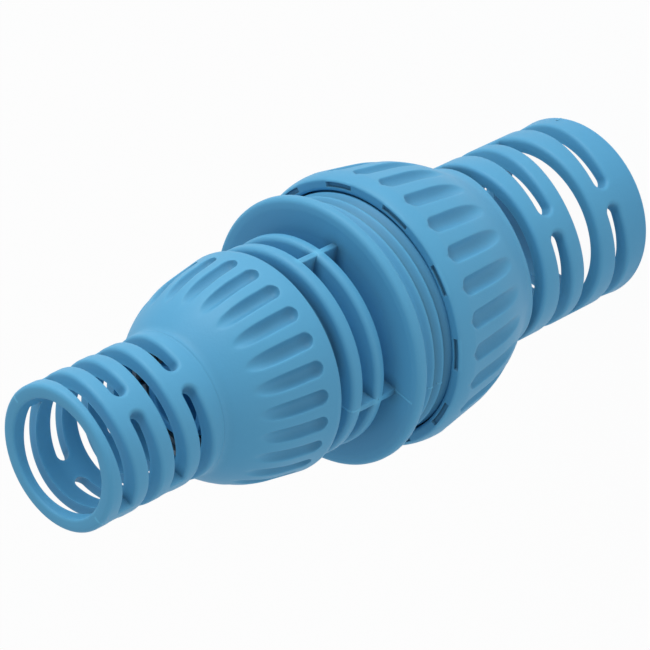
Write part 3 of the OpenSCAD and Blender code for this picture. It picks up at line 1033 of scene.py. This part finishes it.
class GrainAndPaintedLight:
    """Shader node group that gives mottled colour, uneven gloss, fine mould grain, a painted
    highlight on edges and painted shade in hollows.
    """

    def __init__(self) -> None:
        """Builds the group once."""
        self.tree = bpy.data.node_groups.new("grain_and_painted_light", "ShaderNodeTree")
        self._sockets()
        self._nodes()

    def _sockets(self) -> None:
        colors = ("Color", "Shade", "Painted Highlight Color", "Painted Shade Color")
        numbers = ("Thickness", "Openness", "Roughness", "Grain Scale")
        for way, kind, names in (
            ("INPUT", "NodeSocketColor", colors), ("INPUT", "NodeSocketFloat", numbers),
            ("OUTPUT", "NodeSocketColor", ("Color",)),
            ("OUTPUT", "NodeSocketFloat", ("Roughness", "Height")),
        ):
            for name in names:
                self.tree.interface.new_socket(name=name, in_out=way, socket_type=kind)

    def _nodes(self) -> None:
        """Wires the mottling, the painted edge highlight, the painted shade in hollows, the gloss
        and the grain.
        """
        nodes = self.tree.nodes
        inp, out = nodes.new("NodeGroupInput"), nodes.new("NodeGroupOutput")
        coords = nodes.new("ShaderNodeTexCoord")
        cloud = fill(nodes.new("ShaderNodeTexNoise"), {"Scale": 70.0, "Detail": 3.0})
        grain = fill(nodes.new("ShaderNodeTexNoise"), {"Detail": 2.0})
        gloss = fill(nodes.new("ShaderNodeMapRange"), {"To Min": -0.04, "To Max": 0.04})
        add = nodes.new("ShaderNodeMath")
        add.operation = "ADD"
        # The second mix paints a highlight on edges and the third paints shade into hollows.
        mottle, edge, painted_shade = (nodes.new("ShaderNodeMix") for _ in range(3))
        for mix in (mottle, edge, painted_shade):
            mix.data_type = "RGBA"
        join(
            self.tree,
            (coords, "Object", cloud, "Vector"), (coords, "Object", grain, "Vector"),
            (inp, "Grain Scale", grain, "Scale"), (cloud, "Fac", mottle, "Factor"),
            (inp, "Color", mottle, COLOR_A), (inp, "Shade", mottle, COLOR_B),
            (inp, "Thickness", edge, "Factor"), (inp, "Painted Highlight Color", edge, COLOR_A),
            (mottle, COLOR_OUT, edge, COLOR_B), (inp, "Openness", painted_shade, "Factor"),
            (inp, "Painted Shade Color", painted_shade, COLOR_A), (edge, COLOR_OUT, painted_shade, COLOR_B),
            (painted_shade, COLOR_OUT, out, "Color"), (cloud, "Fac", gloss, "Value"),
            (inp, "Roughness", add, 0), (gloss, "Result", add, 1),
            (add, "Value", out, "Roughness"), (grain, "Fac", out, "Height"),
        )


class Workshop:
    """Makes each finish's material from the shared group of grain, painted highlight and painted
    shade.

    Attributes:
        EDGE_HIGHLIGHT_REACH: Depth of plastic within which an edge gets the painted highlight, in
            metres.
        SAMPLES: Rays that look for the hollows that get painted shade and the edges that get the
            painted highlight.
        IOR: Index of refraction of the plastics.
    """

    EDGE_HIGHLIGHT_REACH = 0.0006
    SAMPLES = 8
    IOR = 1.49

    def __init__(self) -> None:
        """Builds the shared group and the materials."""
        self.grain = GrainAndPaintedLight()
        self.materials = {kind: self._material(kind, look) for kind, look in FINISHES.items()}

    def _material(self, kind: Finish, look: Moulded) -> Material:
        """Builds one moulded material.

        Args:
            kind: The finish, which names the material.
            look: What it looks like.

        Returns:
            The material.
        """
        material = bpy.data.materials.new(kind.value)
        material.use_nodes = True
        nodes = material.node_tree.nodes
        shader = nodes["Principled BSDF"]
        fill(shader, {"IOR": self.IOR, "Specular IOR Level": look.shine})
        group = nodes.new("ShaderNodeGroup")
        group.node_tree = self.grain.tree
        fill(group, {
            "Color": (*look.color, 1.0), "Shade": (*look.shade, 1.0),
            "Painted Highlight Color": (*look.edge, 1.0), "Painted Shade Color": (*look.painted_shade, 1.0),
            "Roughness": look.roughness, "Grain Scale": look.grain_scale,
        })
        # Painted shade: ambient occlusion mixes the dark colour into grooves, slots and gaps.
        hollow = fill(nodes.new("ShaderNodeAmbientOcclusion"), {"Distance": look.reach})
        hollow.only_local = look.alone
        # Painted highlight: occlusion from inside the plastic pales convex edges.
        edges = fill(nodes.new("ShaderNodeAmbientOcclusion"), {"Distance": self.EDGE_HIGHLIGHT_REACH})
        edges.inside = edges.only_local = True
        hollow.samples = edges.samples = self.SAMPLES
        bump = fill(nodes.new("ShaderNodeBump"), {"Distance": look.grain})
        join(
            material.node_tree,
            (hollow, "AO", group, "Openness"), (edges, "AO", group, "Thickness"),
            (group, "Color", shader, "Base Color"), (group, "Roughness", shader, "Roughness"),
            (group, "Height", bump, "Height"), (bump, "Normal", shader, "Normal"),
        )
        return material

    def dress(self, piece: Object, kind: Finish) -> None:
        """Gives a piece one finish in all its slots.

        Args:
            piece: The piece.
            kind: The finish.
        """
        if not piece.data.materials:
            piece.data.materials.append(None)
        for slot in piece.material_slots:
            slot.link = "OBJECT"
            slot.material = self.materials[kind]


@dataclass(frozen=True)
class Lamp:
    """A square soft box that faces the coupling.

    Attributes:
        name: The lamp's name.
        toward: Way to it from the coupling, to the picture's right, up and to the camera.
        far, size: Its distance and its side, in metres.
        watts, tint: Power and colour of its light.
    """

    name: str
    toward: tuple[float, float, float]
    far: float
    size: float
    watts: float
    tint: tuple[float, float, float] = (1.0, 1.0, 1.0)


@dataclass
class Studio:
    """Floor, lamps, sky and the camera at the photo's angle.

    Attributes:
        camera_at: Place of the camera, in metres.
        right, up: Directions of the picture's right side and top.
        lens: Focal length on a 36 mm sensor.
        lamps: The key lamp above and the warm fill at the lower right.
        middle: Height of the coupling's middle, in metres.
        glow: Share of the floor's white that the camera and reflections see.
    """

    camera_at: Vector = field(default_factory=lambda: Vector((448.3, 0.5, 432.9)) * MM)
    right: Vector = field(default_factory=lambda: Vector((0.57195, -0.43815, -0.69347)))
    up: Vector = field(default_factory=lambda: Vector((0.27878, 0.89890, -0.33801)))
    lens: float = 194.9
    lamps: tuple[Lamp, ...] = (
        Lamp("key_lamp", (-0.26, 1.05, 0.40), 0.75, 0.50, 3.7),
        Lamp("fill_lamp", (1.0, -0.40, 0.50), 0.9, 0.6, 1.45, (1.0, 0.90, 0.86)),
    )
    middle: float = 0.062
    glow: float = 0.96

    def build(self) -> None:
        """Sets the stage and the camera."""
        self._floor()
        self._sky()
        for lamp in self.lamps:
            self._hang(lamp)
        self._camera()

    def _floor(self) -> None:
        """Lays the pale floor, which looks white to the camera and keeps the shadow."""
        mesh = bpy.data.meshes.new("floor")
        shape = bmesh.new()
        bmesh.ops.create_grid(shape, x_segments=1, y_segments=1, size=3.0)
        shape.to_mesh(mesh)
        shape.free()
        floor = place("floor", mesh)
        material = bpy.data.materials.new("floor")
        material.use_nodes = True
        nodes = material.node_tree.nodes
        nodes.clear()
        path = nodes.new("ShaderNodeLightPath")
        cloth = fill(nodes.new("ShaderNodeBsdfDiffuse"), {"Color": (0.86, 0.86, 0.86, 1.0)})
        white = fill(nodes.new("ShaderNodeEmission"), {"Color": WHITE})
        seen = nodes.new("ShaderNodeMath")
        seen.operation = "MAXIMUM"
        share = fill(nodes.new("ShaderNodeMath"), {1: self.glow})
        share.operation = "MULTIPLY"
        mix, out = nodes.new("ShaderNodeMixShader"), nodes.new("ShaderNodeOutputMaterial")
        join(
            material.node_tree,
            (path, "Is Camera Ray", seen, 0), (path, "Is Glossy Ray", seen, 1),
            (seen, "Value", share, 0), (share, "Value", mix, "Fac"), (cloth, "BSDF", mix, 1),
            (white, "Emission", mix, 2), (mix, "Shader", out, "Surface"),
        )
        mesh.materials.append(material)

    def _sky(self) -> None:
        """Lights the scene evenly and looks white to the camera."""
        world = bpy.data.worlds.new("studio_sky")
        bpy.context.scene.world = world
        world.use_nodes = True
        nodes = world.node_tree.nodes
        nodes.clear()
        path = nodes.new("ShaderNodeLightPath")
        soft, white = nodes.new("ShaderNodeBackground"), nodes.new("ShaderNodeBackground")
        fill(soft, {"Color": (0.93, 0.96, 1.0, 1.0), "Strength": 0.53})
        fill(white, {"Color": WHITE})
        mix, out = nodes.new("ShaderNodeMixShader"), nodes.new("ShaderNodeOutputWorld")
        join(
            world.node_tree,
            (path, "Is Camera Ray", mix, "Fac"), (soft, "Background", mix, 1),
            (white, "Background", mix, 2), (mix, "Shader", out, "Surface"),
        )

    def _hang(self, lamp: Lamp) -> None:
        """Hangs a lamp so that it faces the coupling.

        Args:
            lamp: The lamp.
        """
        light = bpy.data.lights.new(lamp.name, "AREA")
        light.shape = "SQUARE"
        light.size = lamp.size
        light.energy = lamp.watts
        light.color = lamp.tint
        hung = place(lamp.name, light)
        right, up, near = lamp.toward
        toward = self.right * right + self.up * up + self.right.cross(self.up) * near
        hung.location = Vector((0.0, 0.0, self.middle)) + toward.normalized() * lamp.far
        hung.rotation_euler = (-toward).to_track_quat("-Z", "Y").to_euler()

    def _camera(self) -> None:
        """Sets the camera at the photo's viewing angle."""
        lens = bpy.data.cameras.new("photo_camera")
        lens.lens = self.lens
        lens.sensor_width = 36.0
        lens.clip_start = 0.05
        lens.clip_end = 10.0
        camera = place("photo_camera", lens)
        back = self.right.cross(self.up)
        turn = Matrix((self.right, self.up, back)).transposed().to_4x4()
        camera.matrix_world = Matrix.Translation(self.camera_at) @ turn
        bpy.context.scene.camera = camera
        bpy.context.scene.view_settings.view_transform = "Standard"


def main() -> None:
    """Builds the studio, models the mouldings and dresses every piece."""
    logging.basicConfig(level=logging.INFO, format="%(name)s: %(message)s")
    Studio().build()
    shop = Workshop()
    for moulding in (SMALL_NUT, LARGE_NUT, CentreBody()):
        moulding.build(shop)
    for node in frame["record"]["subparts"]:
        shop.dress(frame["nodes"][node["node"]], Finish(node["material_slot"]))
        LOG.info("dressed %s", node["node"])


if __name__ == "__main__":
    main()
